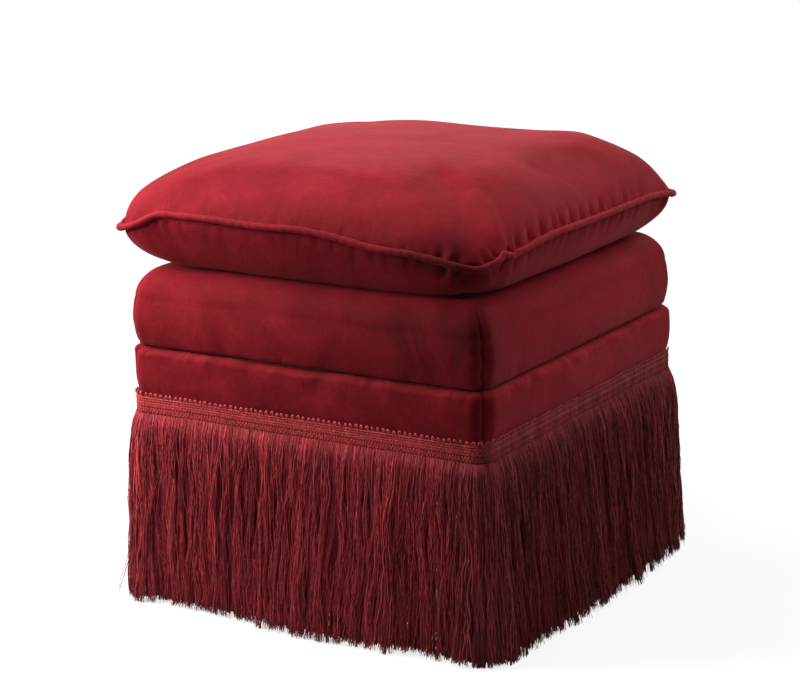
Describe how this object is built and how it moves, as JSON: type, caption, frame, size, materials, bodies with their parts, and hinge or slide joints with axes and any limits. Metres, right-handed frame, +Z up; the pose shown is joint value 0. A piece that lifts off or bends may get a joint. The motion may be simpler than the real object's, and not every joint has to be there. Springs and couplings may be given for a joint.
{
  "type": "upholstered stool",
  "caption": "Square upholstered stool with a loose crowned piped velvet cushion, a padded seat box and a braid-headed strand fringe that hangs to the floor.",
  "frame": {"origin": "middle of the footprint, on the floor under the glides", "axes": "+Z up, -Y the front, which is the wide left-hand face in the picture, +X the face to its right"},
  "size_m": [0.509, 0.509, 0.5145],
  "materials": {
    "velvet": "cut velvet with a soft sheen",
    "velvet_piping": "velvet piping cord",
    "braid": "woven braid heading with rolled bands",
    "fringe": "soft spun strands",
    "beech": "plain planed beech",
    "webbing": "jute webbing",
    "hessian": "hessian cloth",
    "foam": "upholstery foam",
    "wadding": "polyester wadding",
    "dust_cloth": "black non-woven cloth",
    "glide": "hard plastic glide",
    "zip_tape": "woven zip tape with its chain",
    "zip_metal": "plain cast slider"
  },
  "bodies": {
    "stool": {"leg_front_right": "beech", "glide_front_right": "glide", "corner_block_front_right": "beech", "leg_back_right": "beech", "glide_back_right": "glide", "corner_block_back_right": "beech", "leg_back_left": "beech", "glide_back_left": "glide", "corner_block_back_left": "beech", "leg_front_left": "beech", "glide_front_left": "glide", "corner_block_front_left": "beech", "bottom_rail_front": "beech", "top_rail_front": "beech", "bottom_rail_right": "beech", "top_rail_right": "beech", "bottom_rail_back": "beech", "top_rail_back": "beech", "bottom_rail_left": "beech", "top_rail_left": "beech", "strap_across_1": "webbing", "strap_across_2": "webbing", "strap_across_3": "webbing", "strap_along_1": "webbing", "strap_along_2": "webbing", "strap_along_3": "webbing", "deck_cloth": "hessian", "seat_foam": "foam", "seat_wadding": "wadding", "seat_cover": "velvet", "band_wadding": "wadding", "lower_band": "velvet", "dust_cover": "dust_cloth", "braid_front": "braid", "fringe_front": "fringe", "braid_right": "braid", "fringe_right": "fringe", "braid_back": "braid", "fringe_back": "fringe", "braid_left": "braid", "fringe_left": "fringe"},
    "cushion": {"cushion_top": "velvet", "cushion_underside": "velvet", "cushion_pad": "wadding", "cushion_piping": "velvet_piping", "cushion_zip": "zip_tape"},
    "zip_slider": {"zip_slider": "zip_metal"}
  },
  "joints": [
    {"name": "cushion_lift", "type": "slide", "parent": "stool", "child": "cushion", "axis": [0, 0, 1], "range_m": [0, 0.25]},
    {"name": "zip_run", "type": "slide", "parent": "cushion", "child": "zip_slider", "axis": [1, 0, 0], "range_m": [0, 0.229]}
  ]
}
